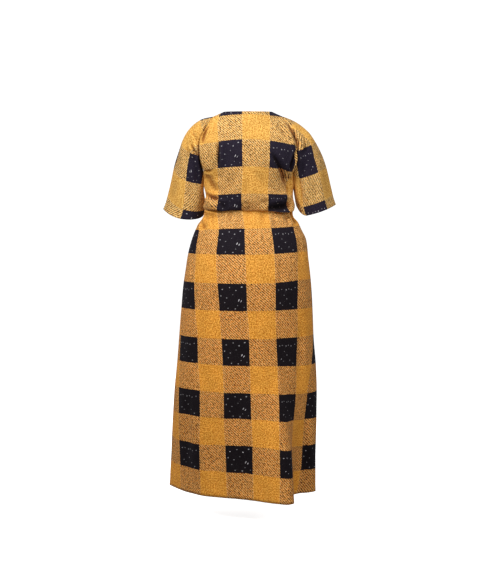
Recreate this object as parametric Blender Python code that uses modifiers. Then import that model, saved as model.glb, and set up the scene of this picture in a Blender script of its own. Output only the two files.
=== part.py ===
"""A floor-length robe in check cotton, worn and hollow: a back panel, a front panel and two wide elbow-length sleeves, each a wall of cloth.

Metres, +Z up. The robe faces -Y, so the back panel is at +Y and the wearer's left at +X. The origin is midway between the two high shoulder points of the neck.
"""

import bpy
import numpy as np

CLOTH = 0.0015  # thickness of the cloth wall
SEAM_GAP = 0.0006  # between two pieces that are sewn together
SHOULDER_GAP = 0.0012  # the same on top of the shoulders, where the walls lean together
UNDERARM_GAP = 0.0017  # between a sleeve and the side seam, where they run down side by side
NECK_HALF = 0.090  # half width of the neck at the shoulders
BACK_NECK = (0.062, -0.003)  # y and z of the neck's edge at centre back
FRONT_NECK = (-0.086, -0.110)  # y and z of the neck's edge at centre front
SHOULDER = (0.127, 0.000, -0.0165)  # where the shoulder seam meets the armhole
CUFF_POINT = 0.85  # how pointed the outer half of a cuff is: 0.5 is round, 1 is a lens
NECK_SHARE = 0.75  # share of the top edge, from the centre out, that is neck
CUT = (0.62, 0.30, 0.07)  # base colour

# The body below the underarm: half widths to the left and right, the back's and
# the front's depth at their centre lines, the y of the side seams, and how far
# the section has turned into the hem's folded outline.
BODY = """
z       left    right   back    front   side    hem
-1.410  0.3020  0.2545  0.1400 -0.2400 -0.050   1.00
-1.315  0.2965  0.2545  0.1430 -0.2330 -0.045   0.86
-1.240  0.2920  0.2555  0.1470 -0.2270 -0.040   0.72
-1.140  0.2860  0.2570  0.1520 -0.2180 -0.033   0.46
-1.040  0.2775  0.2580  0.1560 -0.2080 -0.026   0.20
-0.940  0.2665  0.2545  0.1600 -0.1980 -0.019   0.04
-0.835  0.2570  0.2450  0.1630 -0.1850 -0.012   0.00
-0.730  0.2480  0.2405  0.1660 -0.1740 -0.006   0.00
-0.630  0.2390  0.2340  0.1670 -0.1620  0.000   0.00
-0.580  0.2310  0.2290  0.1640 -0.1530  0.000   0.00
-0.525  0.2230  0.2220  0.1560 -0.1450  0.000   0.00
-0.477  0.2110  0.2180  0.1430 -0.1360  0.002   0.00
-0.430  0.1930  0.1970  0.1220 -0.1250  0.004   0.00
-0.403  0.1780  0.1840  0.1070 -0.1170  0.008   0.00
-0.384  0.1640  0.1670  0.0940 -0.1100  0.014   0.00
-0.366  0.1595  0.1640  0.0890 -0.1090  0.030   0.00
-0.344  0.1640  0.1720  0.1050 -0.1220  0.034   0.00
-0.318  0.1530  0.1650  0.1130 -0.1360  0.022   0.00
-0.285  0.1520  0.1600  0.1160 -0.1440  0.004   0.00
-0.245  0.1570  0.1570  0.1190 -0.1430  0.000   0.00
"""

# The hem seen from below, as a distance from its middle at each angle from
# centre back: positive to the left. The fold stands at -32 and its trough at -62.
HEM = """
angle   reach
-180    0.190
-166    0.187
-152    0.203
-138    0.226
-124    0.232
-110    0.238
-96     0.252
-86     0.258
-78     0.264
-71     0.246
-65     0.216
-58     0.204
-49.5   0.214
-43.5   0.240
-38.5   0.272
-34     0.295
-30     0.297
-24     0.270
-15     0.232
-5      0.201
5       0.184
16      0.178
30      0.182
45      0.197
58      0.212
70      0.228
82      0.249
92      0.274
100     0.297
107     0.297
117     0.272
130     0.243
145     0.226
158     0.208
170     0.193
180     0.190
"""

# The armhole from the underarm to the shoulder, on the back and on the front.
ARMHOLE_BACK = """
share   x       y       z
0.00    0.1570  0.0000 -0.2450
0.10    0.1590  0.0300 -0.2280
0.22    0.1690  0.0520 -0.2050
0.36    0.1790  0.0660 -0.1700
0.52    0.1820  0.0720 -0.1300
0.68    0.1710  0.0700 -0.0880
0.80    0.1540  0.0560 -0.0570
0.90    0.1370  0.0330 -0.0310
0.965   0.1285  0.0130 -0.0188
1.00    0.1270  0.0000 -0.0165
"""
ARMHOLE_FRONT = """
share   x       y       z
0.00    0.1570  0.0000 -0.2450
0.10    0.1590 -0.0280 -0.2280
0.22    0.1640 -0.0520 -0.2040
0.36    0.1660 -0.0700 -0.1690
0.52    0.1630 -0.0760 -0.1300
0.68    0.1540 -0.0710 -0.0880
0.80    0.1430 -0.0540 -0.0560
0.90    0.1330 -0.0320 -0.0300
0.965   0.1280 -0.0130 -0.0188
1.00    0.1270  0.0000 -0.0165
"""

# The centre lines above the underarm, and the angle that the section turns
# through from its centre to the armhole.
CENTRE_BACK = """
share   y       z       turn
0.00    0.1190 -0.2450  90
0.18    0.1205 -0.2050  84
0.36    0.1200 -0.1650  77
0.54    0.1150 -0.1240  70
0.70    0.1040 -0.0860  64
0.84    0.0870 -0.0480  58
0.94    0.0720 -0.0200  54
1.00    0.0620 -0.0030  52
"""
CENTRE_FRONT = """
share   y       z       turn
0.00   -0.1430 -0.2450  90
0.18   -0.1380 -0.2210  84
0.36   -0.1300 -0.1970  77
0.54   -0.1190 -0.1730  70
0.70   -0.1080 -0.1510  64
0.84   -0.0970 -0.1310  58
0.94   -0.0900 -0.1170  54
1.00   -0.0860 -0.1100  52
"""

# Each cuff: its middle, its half width across and its half depth, how much its
# edge rises outwards and falls towards the back, how its inner end lifts, how far
# the arm's line leans out, how full the sleeve is at the armhole and at the cuff,
# and how much its top line rises as it leaves the shoulder.
CUFF = """
side    x       y       z       across  deep    rise    fall    lift    lean    swell   late    up
1       0.2400 -0.0400 -0.3655  0.0750  0.0740  0.13    0.38    0.00    0.42    0.20    0.00    0.25
-1     -0.2540 -0.0400 -0.3610  0.0730  0.0740  0.30    0.135   0.155   0.32    0.35    0.00    0.00
"""

BODY_ROWS = (
    -1.410, -1.365, -1.315, -1.260, -1.200, -1.140, -1.080, -1.020, -0.960,
    -0.890, -0.820, -0.750, -0.680, -0.620, -0.565, -0.520, -0.480, -0.448,
    -0.422, -0.402, -0.386, -0.373, -0.361, -0.348, -0.334, -0.316, -0.294,
    -0.270, -0.245,
)
TOP_ROWS = (0.12, 0.25, 0.38, 0.51, 0.63, 0.74, 0.83, 0.90, 0.96, 1.0)
BACK_COLUMNS = (
    -1.0, -0.975, -0.94, -0.88, -0.82, -0.75, -0.69, -0.63, -0.57, -0.51, -0.45,
    -0.40, -0.35, -0.30, -0.25, -0.19, -0.13, -0.07, 0.0, 0.11, 0.22, 0.34,
    0.46, 0.58, 0.67, 0.75, 0.83, 0.91, 0.97, 1.0,
)
FRONT_COLUMNS = (
    -1.0, -0.97, -0.91, -0.83, -0.75, -0.66, -0.55, -0.44, -0.33, -0.22, -0.11, 0.0,
    0.11, 0.22, 0.33, 0.44, 0.55, 0.66, 0.75, 0.83, 0.91, 0.97, 1.0,
)
SLEEVE_ALONG = (0.0, 0.07, 0.15, 0.25, 0.36, 0.48, 0.60, 0.72, 0.86, 1.0)


def table(text):
    """The named columns of a table, each as an array."""
    lines = text.split("\n")[1:-1]
    rows = np.array([[float(word) for word in line.split()] for line in lines[1:]])
    return dict(zip(lines[0].split(), rows.T))


def along(places, values, at):
    """A smooth curve through a table's values that never overshoots them."""
    order = np.argsort(places)
    places, values = places[order], values[order]
    step = np.diff(places)
    slope = np.diff(values) / step
    tangent = np.zeros_like(values)
    tangent[0], tangent[-1] = slope[0], slope[-1]
    before, after = slope[:-1], slope[1:]
    turns = before * after > 0
    heavy = 2 * step[1:] + step[:-1], step[1:] + 2 * step[:-1]
    with np.errstate(divide="ignore", invalid="ignore"):
        mean = (heavy[0] + heavy[1]) / (heavy[0] / before + heavy[1] / after)
    tangent[1:-1] = np.where(turns, mean, 0.0)
    at = np.clip(np.asarray(at, float), places[0], places[-1])
    k = np.clip(np.searchsorted(places, at, side="right") - 1, 0, len(step) - 1)
    s = (at - places[k]) / step[k]
    return (
        values[k] * (1 + 2 * s) * (1 - s) ** 2
        + tangent[k] * step[k] * s * (1 - s) ** 2
        + values[k + 1] * s * s * (3 - 2 * s)
        + tangent[k + 1] * step[k] * s * s * (s - 1)
    )


def even(points, shares):
    """Points at the given shares of a line's length."""
    length = np.concatenate([[0], np.cumsum(np.linalg.norm(np.diff(points, axis=0), axis=1))])
    at = np.asarray(shares) * length[-1]
    return np.stack([np.interp(at, length, points[:, i]) for i in range(points.shape[1])], 1)


BODY_AT = table(BODY)
HEM_AT = table(HEM)
CUFFS = table(CUFF)
EDGES = {1: table(ARMHOLE_BACK), -1: table(ARMHOLE_FRONT)}
CENTRES = {1: table(CENTRE_BACK), -1: table(CENTRE_FRONT)}


def body_at(z, name):
    return along(BODY_AT["z"], BODY_AT[name], z)


def ring(z, angle):
    """The body's section at a height below the underarm: x and y at angles from centre back, positive to the left."""
    turn = np.radians(angle)
    side, hem = body_at(z, "side"), body_at(z, "hem")
    left, right = body_at(z, "left"), body_at(z, "right")
    wide = np.where(angle > 0, left, right)
    deep = np.where(np.abs(angle) < 90, body_at(z, "back") - side, side - body_at(z, "front"))
    plain = 1 / np.sqrt((np.sin(turn) / wide) ** 2 + (np.cos(turn) / deep) ** 2)
    wrapped = np.concatenate([HEM_AT["angle"][:-1] - 360, HEM_AT["angle"], HEM_AT["angle"][1:] + 360])
    reach = np.concatenate([HEM_AT["reach"][:-1], HEM_AT["reach"], HEM_AT["reach"][1:]])
    folded = along(wrapped, reach, angle)
    r = plain + (folded - plain) * hem
    return r * np.sin(turn), side + r * np.cos(turn)


def fitted(z, x):
    """x scaled so that the section keeps its table's widths on both sides."""
    whole, _ = ring(z, np.linspace(-180, 180, 721))
    left, right = body_at(z, "left"), body_at(z, "right")
    return np.where(x > 0, x * left / whole.max(), x * right / -whole.min())


def low_row(z, face, shares):
    """One row of the back or front panel below the underarm, from the right seam to the left one."""
    rows = []
    for hand in (-1, 1):
        sweep = np.linspace(0, 90, 181) * hand
        angle = sweep if face > 0 else 180 * hand - sweep
        x, y = ring(z, angle)
        points = np.stack([fitted(z, x), y, np.full_like(x, z)], 1)
        trimmed = 1 - SEAM_GAP / 2 / np.linalg.norm(np.diff(points, axis=0), axis=1).sum()
        own = np.abs(shares[shares * hand > 0] if hand < 0 else shares[shares >= 0])
        rows.append(even(points, own * trimmed))
    return np.concatenate(rows)


def top_edge(face, share):
    """The panel's upper edge from the centre to the armhole: first the neck, then the shoulder seam."""
    neck = np.clip(share / NECK_SHARE, 0, 1) * np.pi / 2
    out = np.clip((share - NECK_SHARE) / (1 - NECK_SHARE), 0, 1)
    y, z = BACK_NECK if face > 0 else FRONT_NECK
    x = NECK_HALF * np.sin(neck) + (SHOULDER[0] - NECK_HALF) * out
    return np.stack([x, y * np.cos(neck) + SHOULDER_GAP / 2 * face * np.sin(neck), z * np.cos(neck) + SHOULDER[2] * out], 1)


def top_line(share, face):
    """A panel's surface above the underarm: a line curving down from its centre to the armhole."""
    out = np.linspace(0, 1, 161)

    def arc(share):
        edge = [along(EDGES[face]["share"], EDGES[face][name], share) for name in "xyz"]
        y, z, turn = (along(CENTRES[face]["share"], CENTRES[face][name], share) for name in ("y", "z", "turn"))
        turn = np.radians(turn)
        across = np.sin(out * turn) / np.sin(turn)
        back = (np.cos(out * turn) - np.cos(turn)) / (1 - np.cos(turn))
        return np.stack([edge[0] * across, edge[1] + (y - edge[1]) * back, z + (edge[2] - z) * across**2], 1)

    return arc(share) + share**3 * (top_edge(face, out) - arc(1.0))


def top_row(share, face, shares):
    points = top_line(share, face)
    trimmed = 1 - SEAM_GAP / 2 / np.linalg.norm(np.diff(points, axis=0), axis=1).sum()
    own = np.abs(shares) * trimmed
    here = top_edge(face, own) if share == 1 else even(points, own)
    here[:, 0] *= np.where(shares < 0, -1, 1)
    return here


def panel(face, columns):
    shares = np.array(columns)
    rows = [low_row(z, face, shares) for z in BODY_ROWS]
    rows += [top_row(share, face, shares) for share in TOP_ROWS]
    return np.stack(rows)


def armhole(hand):
    """The armhole's loop, the share of its length at each point, and the way that the body's cloth leaves it: from the underarm over the back to the shoulder and down the front."""
    loop, way = [], []
    for face in (1, -1):
        lines = [top_line(share, face) for share in (0.0, *TOP_ROWS)]
        if face < 0:
            lines = lines[-2:0:-1]
        loop += [line[-1] for line in lines]
        way += [line[-1] - line[-4] for line in lines]
    loop, way = np.array(loop), np.array(way)
    loop[:, 0] *= hand
    way[:, 0] *= hand
    way /= np.linalg.norm(way, axis=1)[:, None]
    for _ in range(4):
        way = (np.roll(way, 1, 0) + 2 * way + np.roll(way, -1, 0)) / 4
    way /= np.linalg.norm(way, axis=1)[:, None]
    steps = np.linalg.norm(np.roll(loop, -1, 0) - loop, axis=1)
    return loop, np.concatenate([[0], np.cumsum(steps)[:-1]]) / steps.sum(), way


def sleeve(hand):
    """Rings of the sleeve from the armhole to the cuff."""
    row = {name: CUFFS[name][list(CUFFS["side"]).index(hand)] for name in CUFFS}
    start, share, leaving = armhole(hand)
    around = 2 * np.pi * share
    x = row["x"] - hand * row["across"] * np.cos(around)
    outer = -np.cos(around) > 0
    y = row["y"] + row["deep"] * np.sin(around) * np.where(outer, np.abs(np.sin(around)) ** (2 * CUFF_POINT - 1), 1)
    z = row["z"] + row["rise"] * hand * (x - row["x"]) - row["fall"] * (y - row["y"]) + row["lift"] * np.clip(np.cos(around) - 0.5, 0, 1) ** 2
    cuff = np.stack([x, y, z], 1)
    axis = np.array([row["lean"] * hand, -0.10, -1.0])
    axis /= np.linalg.norm(axis)
    high = ((1 - np.cos(around)) / 2)[:, None]
    mix = np.clip(high * 1.25, 0, 1)
    first = leaving * mix + axis * (1 - mix)
    first /= np.linalg.norm(first, axis=1)[:, None]
    first += np.array([0, 0, row["up"]]) * high**3
    first /= np.linalg.norm(first, axis=1)[:, None]
    start = start + leaving * mix * SEAM_GAP / 2 + np.array([hand, 0, 0]) * (1 - mix) * UNDERARM_GAP
    reach = np.linalg.norm(cuff - start, axis=1)[:, None]
    pull = 0.9 + row["swell"] * high
    late = 0.9 + row["late"] * high
    rings = []
    for s in SLEEVE_ALONG:
        rings.append(
            start * (1 + 2 * s) * (1 - s) ** 2
            + first * reach * pull * s * (1 - s) ** 2
            + cuff * s * s * (3 - 2 * s)
            + axis * reach * late * s * s * (s - 1)
        )
    return np.stack(rings)


def grid_faces(rows, columns, closed, flip):
    faces = []
    for i in range(rows - 1):
        for j in range(columns if closed else columns - 1):
            k = (j + 1) % columns
            quad = (i * columns + j, i * columns + k, (i + 1) * columns + k, (i + 1) * columns + j)
            faces.append(quad[::-1] if flip else quad)
    return faces


def cloth(name, points, closed, flip, collection):
    rows, columns = points.shape[:2]
    mesh = bpy.data.meshes.new(name)
    mesh.from_pydata([tuple(p) for p in points.reshape(-1, 3)], [], grid_faces(rows, columns, closed, flip))
    mesh.validate()
    ob = bpy.data.objects.new(name, mesh)
    collection.objects.link(ob)
    wall = ob.modifiers.new("cloth", "SOLIDIFY")
    wall.thickness = CLOTH
    wall.offset = -1
    material = bpy.data.materials.new(name)
    material.use_nodes = True
    shader = material.node_tree.nodes["Principled BSDF"]
    shader.inputs["Base Color"].default_value = (*CUT, 1)
    shader.inputs["Roughness"].default_value = 0.85
    mesh.materials.append(material)
    return ob


def main():
    for ob in list(bpy.data.objects):
        bpy.data.objects.remove(ob)
    collection = bpy.data.collections.new("grand_boubou_robe")
    bpy.context.scene.collection.children.link(collection)
    cloth("back", panel(1, BACK_COLUMNS), False, True, collection)
    cloth("front", panel(-1, FRONT_COLUMNS), False, False, collection)
    cloth("sleeve_left", sleeve(1), True, True, collection)
    cloth("sleeve_right", sleeve(-1), True, False, collection)


main()
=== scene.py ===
"""The looks of a worn, hollow check-cotton robe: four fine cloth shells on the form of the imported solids, with their creases, folded edges, stitching and print, under plain studio light.

Metres, +Z up. The robe faces -Y, its back is at +Y and the wearer's left at +X. The origin is midway between the high shoulder points of the neck.
"""

import bpy
import numpy as np
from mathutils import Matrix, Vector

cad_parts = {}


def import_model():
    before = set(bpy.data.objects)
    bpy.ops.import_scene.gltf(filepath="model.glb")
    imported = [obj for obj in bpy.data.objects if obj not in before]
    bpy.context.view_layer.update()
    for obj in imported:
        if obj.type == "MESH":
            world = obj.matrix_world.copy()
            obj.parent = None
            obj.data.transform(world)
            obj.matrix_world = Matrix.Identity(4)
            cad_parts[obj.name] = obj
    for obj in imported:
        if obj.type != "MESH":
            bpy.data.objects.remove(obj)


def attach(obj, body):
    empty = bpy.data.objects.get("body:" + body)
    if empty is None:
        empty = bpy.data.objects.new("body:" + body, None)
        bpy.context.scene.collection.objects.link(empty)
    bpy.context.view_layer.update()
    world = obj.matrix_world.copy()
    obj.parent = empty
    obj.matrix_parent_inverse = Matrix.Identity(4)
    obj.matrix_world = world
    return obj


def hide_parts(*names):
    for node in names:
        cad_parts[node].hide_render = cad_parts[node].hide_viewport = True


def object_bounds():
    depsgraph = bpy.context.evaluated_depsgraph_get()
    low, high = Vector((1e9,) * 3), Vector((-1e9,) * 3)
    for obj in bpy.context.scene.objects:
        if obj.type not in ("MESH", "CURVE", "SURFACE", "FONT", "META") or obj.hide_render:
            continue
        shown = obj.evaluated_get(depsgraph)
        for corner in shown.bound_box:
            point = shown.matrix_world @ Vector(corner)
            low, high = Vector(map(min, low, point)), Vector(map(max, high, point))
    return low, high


NECK_HALF = 0.090  # half width of the neck at the shoulders
BACK_NECK = (0.062, -0.003)  # y and z of the neck's edge at centre back
FRONT_NECK = (-0.086, -0.110)  # y and z of the neck's edge at centre front
SHOULDER = (0.127, 0.000, -0.0165)  # where the shoulder seam meets the armhole
CUFF_POINT = 0.85  # how pointed the outer half of a cuff is: 0.5 is round, 1 is a lens
NECK_SHARE = 0.75  # share of the top edge, from the centre out, that is neck
SHOULDER_GAP = 0.0  # the shown pieces meet on top of the shoulders
CHECK = 0.105  # side of one square of the print
EDGE = 0.0012  # thickness of the cloth where it is turned over at a hem, cuff or neck
SINGLE = 0.0006  # thickness of a single layer

# The body below the underarm: half widths to the left and right, the back's and
# the front's depth at their centre lines, the y of the side seams, and how far
# the section has turned into the hem's folded outline.
BODY = """
z       left    right   back    front   side    hem
-1.410  0.3020  0.2545  0.1400 -0.2400 -0.050   1.00
-1.315  0.2965  0.2545  0.1430 -0.2330 -0.045   0.86
-1.240  0.2920  0.2555  0.1470 -0.2270 -0.040   0.72
-1.140  0.2860  0.2570  0.1520 -0.2180 -0.033   0.46
-1.040  0.2775  0.2580  0.1560 -0.2080 -0.026   0.20
-0.940  0.2665  0.2545  0.1600 -0.1980 -0.019   0.04
-0.835  0.2570  0.2450  0.1630 -0.1850 -0.012   0.00
-0.730  0.2480  0.2405  0.1660 -0.1740 -0.006   0.00
-0.630  0.2390  0.2340  0.1670 -0.1620  0.000   0.00
-0.580  0.2310  0.2290  0.1640 -0.1530  0.000   0.00
-0.525  0.2230  0.2220  0.1560 -0.1450  0.000   0.00
-0.477  0.2110  0.2180  0.1430 -0.1360  0.002   0.00
-0.430  0.1930  0.1970  0.1220 -0.1250  0.004   0.00
-0.403  0.1780  0.1840  0.1070 -0.1170  0.008   0.00
-0.384  0.1640  0.1670  0.0940 -0.1100  0.014   0.00
-0.366  0.1595  0.1640  0.0890 -0.1090  0.030   0.00
-0.344  0.1640  0.1720  0.1050 -0.1220  0.034   0.00
-0.318  0.1530  0.1650  0.1130 -0.1360  0.022   0.00
-0.285  0.1520  0.1600  0.1160 -0.1440  0.004   0.00
-0.245  0.1570  0.1570  0.1190 -0.1430  0.000   0.00
"""

# The hem seen from below, as a distance from its middle at each angle from
# centre back: positive to the left. The fold stands at -32 and its trough at -62.
HEM = """
angle   reach
-180    0.190
-166    0.187
-152    0.203
-138    0.226
-124    0.232
-110    0.238
-96     0.252
-86     0.258
-78     0.264
-71     0.246
-65     0.216
-58     0.204
-49.5   0.214
-43.5   0.240
-38.5   0.272
-34     0.295
-30     0.297
-24     0.270
-15     0.232
-5      0.201
5       0.184
16      0.178
30      0.182
45      0.197
58      0.212
70      0.228
82      0.249
92      0.274
100     0.297
107     0.297
117     0.272
130     0.243
145     0.226
158     0.208
170     0.193
180     0.190
"""

# The armhole from the underarm to the shoulder, on the back and on the front.
ARMHOLE_BACK = """
share   x       y       z
0.00    0.1570  0.0000 -0.2450
0.10    0.1590  0.0300 -0.2280
0.22    0.1690  0.0520 -0.2050
0.36    0.1790  0.0660 -0.1700
0.52    0.1820  0.0720 -0.1300
0.68    0.1710  0.0700 -0.0880
0.80    0.1540  0.0560 -0.0570
0.90    0.1370  0.0330 -0.0310
0.965   0.1285  0.0130 -0.0188
1.00    0.1270  0.0000 -0.0165
"""
ARMHOLE_FRONT = """
share   x       y       z
0.00    0.1570  0.0000 -0.2450
0.10    0.1590 -0.0280 -0.2280
0.22    0.1640 -0.0520 -0.2040
0.36    0.1660 -0.0700 -0.1690
0.52    0.1630 -0.0760 -0.1300
0.68    0.1540 -0.0710 -0.0880
0.80    0.1430 -0.0540 -0.0560
0.90    0.1330 -0.0320 -0.0300
0.965   0.1280 -0.0130 -0.0188
1.00    0.1270  0.0000 -0.0165
"""

# The centre lines above the underarm, and the angle that the section turns
# through from its centre to the armhole.
CENTRE_BACK = """
share   y       z       turn
0.00    0.1190 -0.2450  90
0.18    0.1205 -0.2050  84
0.36    0.1200 -0.1650  77
0.54    0.1150 -0.1240  70
0.70    0.1040 -0.0860  64
0.84    0.0870 -0.0480  58
0.94    0.0720 -0.0200  54
1.00    0.0620 -0.0030  52
"""
CENTRE_FRONT = """
share   y       z       turn
0.00   -0.1430 -0.2450  90
0.18   -0.1380 -0.2210  84
0.36   -0.1300 -0.1970  77
0.54   -0.1190 -0.1730  70
0.70   -0.1080 -0.1510  64
0.84   -0.0970 -0.1310  58
0.94   -0.0900 -0.1170  54
1.00   -0.0860 -0.1100  52
"""

# Each cuff: its middle, its half width across and its half depth, how much its
# edge rises outwards and falls towards the back, how its inner end lifts, how far
# the arm's line leans out, how full the sleeve is at the armhole and at the cuff,
# and how much its top line rises as it leaves the shoulder.
CUFF = """
side    x       y       z       across  deep    rise    fall    lift    lean    swell   late    up
1       0.2400 -0.0400 -0.3655  0.0750  0.0740  0.13    0.38    0.00    0.42    0.20    0.00    0.25
-1     -0.2540 -0.0400 -0.3610  0.0730  0.0740  0.30    0.135   0.155   0.32    0.35    0.00    0.00
"""

# Creases, seen from behind or, for the front, from the front: the ends of each
# stroke across and up, its depth (a ridge where it is negative) and half width in
# millimetres, and how far its middle bows sideways.
BACK_CREASES = """
x0      z0      x1      z1      deep    wide    bow
-0.1283 -0.0335 -0.1835 -0.1366 10.5    7.0     -7
-0.1180 -0.0360 -0.1720 -0.1300 -5.5    7.5     -7
-0.1835 -0.1450 -0.1600 -0.2224 -5.5    4.6     1
-0.1740 -0.1440 -0.1500 -0.2260 8.0     5.0     1
-0.0840 -0.1540 -0.1520 -0.2920 14.0    9.5     -5
-0.1340 -0.2240 -0.1590 -0.2880 -8.0    12.0    0
-0.1400 -0.2700 -0.1500 -0.3180 3.4     5.2     0
-0.1050 -0.0500 -0.1350 -0.1050 3.5     5.9     -4
0.1371  -0.0480 0.1668  -0.1260 8.5     6.5     7
0.1500  -0.0440 0.1790  -0.1180 -4.3    5.9     6
0.1732  -0.0700 0.1890  -0.1220 6.4     5.2     2
0.1150  -0.0450 0.1380  -0.1050 3.5     6.5     5
0.1815  -0.1650 0.1560  -0.2350 5.5     4.6     2
0.1570  -0.2160 0.1270  -0.2200 6.5     4.6     2
0.1500  -0.2220 0.1080  -0.2980 7.0     10.0    5
0.0930  -0.1060 0.0930  -0.2140 -6.5    8.0     -2
0.1090  -0.1080 0.1080  -0.2120 6.5     5.5     -2
0.1450  -0.1300 0.1370  -0.2000 3.2     7.2     3
0.0600  -0.1500 0.0200  -0.2150 2.6     11.7    4
0.0100  -0.1300 -0.0300 -0.2000 2.0     11.7    3
-0.0200 -0.2200 -0.0700 -0.2900 3.2     11.7    -4
0.0400  -0.2250 0.0750  -0.2950 3.2     11.7    4
0.0000  -0.2500 0.0200  -0.3150 2.6     11.7    -3
0.1620  -0.3160 0.1140  -0.3440 -9.4    10.4    3
0.1560  -0.3000 0.1060  -0.3240 9.0     6.5     2
0.1660  -0.3540 0.0940  -0.3600 11.0    7.0     -3
0.1240  -0.3300 0.0700  -0.3420 6.1     6.0     2
0.0760  -0.3540 0.0100  -0.3560 5.8     6.5     0
0.0640  -0.3420 -0.0500 -0.3460 4.9     7.8     0
-0.0620 -0.3480 -0.1640 -0.3390 13.0    7.5     -2
-0.1040 -0.3640 -0.1700 -0.3500 -9.0    7.0     -4
-0.0900 -0.3710 -0.1340 -0.3610 8.0     5.6     0
-0.1630 -0.3520 -0.1600 -0.3780 6.4     4.4     -2
-0.1100 -0.3160 -0.1560 -0.3280 6.1     6.0     2
-0.0400 -0.3260 -0.0920 -0.3340 4.1     7.2     2
-0.1560 -0.3600 -0.1820 -0.4120 8.5     7.0     3
-0.1320 -0.3700 -0.1520 -0.4160 4.6     6.5     0
0.1780  -0.3850 0.1650  -0.4280 7.5     7.0     -2
0.1520  -0.3660 0.1640  -0.4400 5.5     7.2     -4
0.1280  -0.3640 0.1400  -0.4220 4.6     7.2     -2
0.0600  -0.3640 0.0720  -0.4120 3.8     8.5     0
0.0000  -0.3640 0.0020  -0.4080 3.2     9.1     0
-0.0500 -0.3640 -0.0590 -0.4180 3.5     8.5     0
-0.0900 -0.3720 -0.1020 -0.4260 3.8     7.8     0
-0.1850 -0.4700 -0.2000 -0.5600 3.8     8.0     3
0.1950  -0.4800 0.2050  -0.6000 3.4     9.0     -3
0.0900  -0.5600 0.1100  -0.7800 2.9     14.0    4
-0.1200 -0.5200 -0.1050 -0.7600 3.1     13.0    -4
-0.0300 -0.6400 -0.0400 -0.9000 2.6     15.0    3
0.1700  -0.7000 0.1850  -1.0000 4.1     15.0    4
0.0300  -0.8500 0.0400  -1.2000 3.8     16.0    -3
-0.1950 -0.7600 -0.1900 -1.0200 4.3     13.0    3
-0.0800 -0.9000 -0.0850 -1.3000 4.6     17.0    3
0.1100  -0.9800 0.1200  -1.3900 5.3     17.0    -4
0.2150  -1.0200 0.2320  -1.3900 6.0     15.0    3
0.0000  -1.1000 0.0100  -1.3950 4.6     15.0    3
-0.2150 -1.0600 -0.2120 -1.3900 4.3     10.0    2
"""
FRONT_CREASES = """
x0      z0      x1      z1      deep    wide    bow
-0.125  -0.050  -0.150  -0.120  4.9     5.0     -4
0.125   -0.050  0.152   -0.125  5.5     5.0     4
-0.140  -0.110  -0.150  -0.190  3.9     5.0     3
0.145   -0.120  0.138   -0.200  3.9     5.0     -3
-0.090  -0.150  -0.150  -0.255  6.0     8.2     6
0.085   -0.160  0.148   -0.262  5.5     8.2     -6
-0.030  -0.180  -0.075  -0.260  3.5     10.2    4
0.030   -0.190  0.070   -0.275  3.0     10.2    -4
0.145   -0.312  0.080   -0.338  -6.4    7.2     3
-0.145  -0.315  -0.085  -0.340  -6.4    7.2     -3
0.130   -0.345  0.040   -0.352  6.4     5.0     2
-0.130  -0.346  -0.050  -0.352  6.4     5.0     -2
0.050   -0.310  0.025   -0.345  3.9     7.2     3
-0.060  -0.305  -0.040  -0.345  3.9     7.2     0
-0.005  -0.315  -0.010  -0.346  3.0     7.2     0
0.145   -0.370  0.170   -0.440  5.5     6.1     -4
-0.145  -0.370  -0.170  -0.440  5.5     6.1     4
0.080   -0.368  0.095   -0.430  4.4     7.2     2
-0.075  -0.368  -0.090  -0.430  4.4     7.2     -2
0.020   -0.368  0.020   -0.420  3.5     8.2     0
-0.030  -0.366  -0.034  -0.415  3.0     8.2     0
0.120   -0.500  0.135   -0.760  3.4     13.0    4
-0.115  -0.480  -0.130  -0.740  3.4     13.0    -4
0.020   -0.560  0.030   -0.860  2.5     16.0    3
-0.190  -0.640  -0.200  -0.930  4.5     13.0    3
0.190   -0.660  0.205   -0.980  4.5     13.0    -3
-0.050  -0.800  -0.060  -1.200  4.2     17.0    -3
0.090   -0.900  0.100   -1.330  4.9     17.0    4
-0.140  -0.960  -0.150  -1.395  5.5     16.0    4
0.010   -1.040  0.015   -1.395  4.5     16.0    -3
0.190   -1.020  0.205   -1.395  6.2     15.0    -4
-0.225  -1.060  -0.235  -1.395  5.5     13.0    3
"""
LEFT_CREASES = """
x0      z0      x1      z1      deep    wide    bow
0.2011  -0.0620 0.1876  -0.1060 7.0     4.2     3
0.2080  -0.1160 0.1810  -0.1700 9.8     4.4     2
0.2160  -0.1180 0.1930  -0.1720 -4.2    6.0     2
0.1900  -0.1100 0.1780  -0.1600 4.8     4.2     0
0.2220  -0.0950 0.2140  -0.1650 3.1     7.8     4
0.2500  -0.1200 0.2620  -0.2300 2.8     11.7    4
0.1880  -0.1900 0.1820  -0.2900 4.8     7.8     3
0.2080  -0.2400 0.2140  -0.3500 3.6     10.4    -3
0.2620  -0.2400 0.2840  -0.3300 3.4     11.7    2
"""
RIGHT_CREASES = """
x0      z0      x1      z1      deep    wide    bow
0.1873  -0.0950 0.1817  -0.1480 7.7     4.2     2
0.1960  -0.0950 0.1900  -0.1500 -3.6    5.2     2
0.2050  -0.0900 0.2060  -0.1500 4.2     5.2     -2
0.2200  -0.1100 0.2100  -0.1600 2.8     6.5     0
0.1840  -0.2300 0.2000  -0.3450 5.6     7.2     3
0.2050  -0.1750 0.1950  -0.2700 3.6     9.1     3
0.2350  -0.2300 0.2500  -0.3400 3.4     11.7    0
0.2720  -0.1900 0.2960  -0.3200 3.4     11.7    2
0.2300  -0.0600 0.2580  -0.1500 2.8     10.4    3
"""


def table(text):
    """The named columns of a table, each as an array."""
    lines = text.split("\n")[1:-1]
    rows = np.array([[float(word) for word in line.split()] for line in lines[1:]])
    return dict(zip(lines[0].split(), rows.T))


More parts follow.
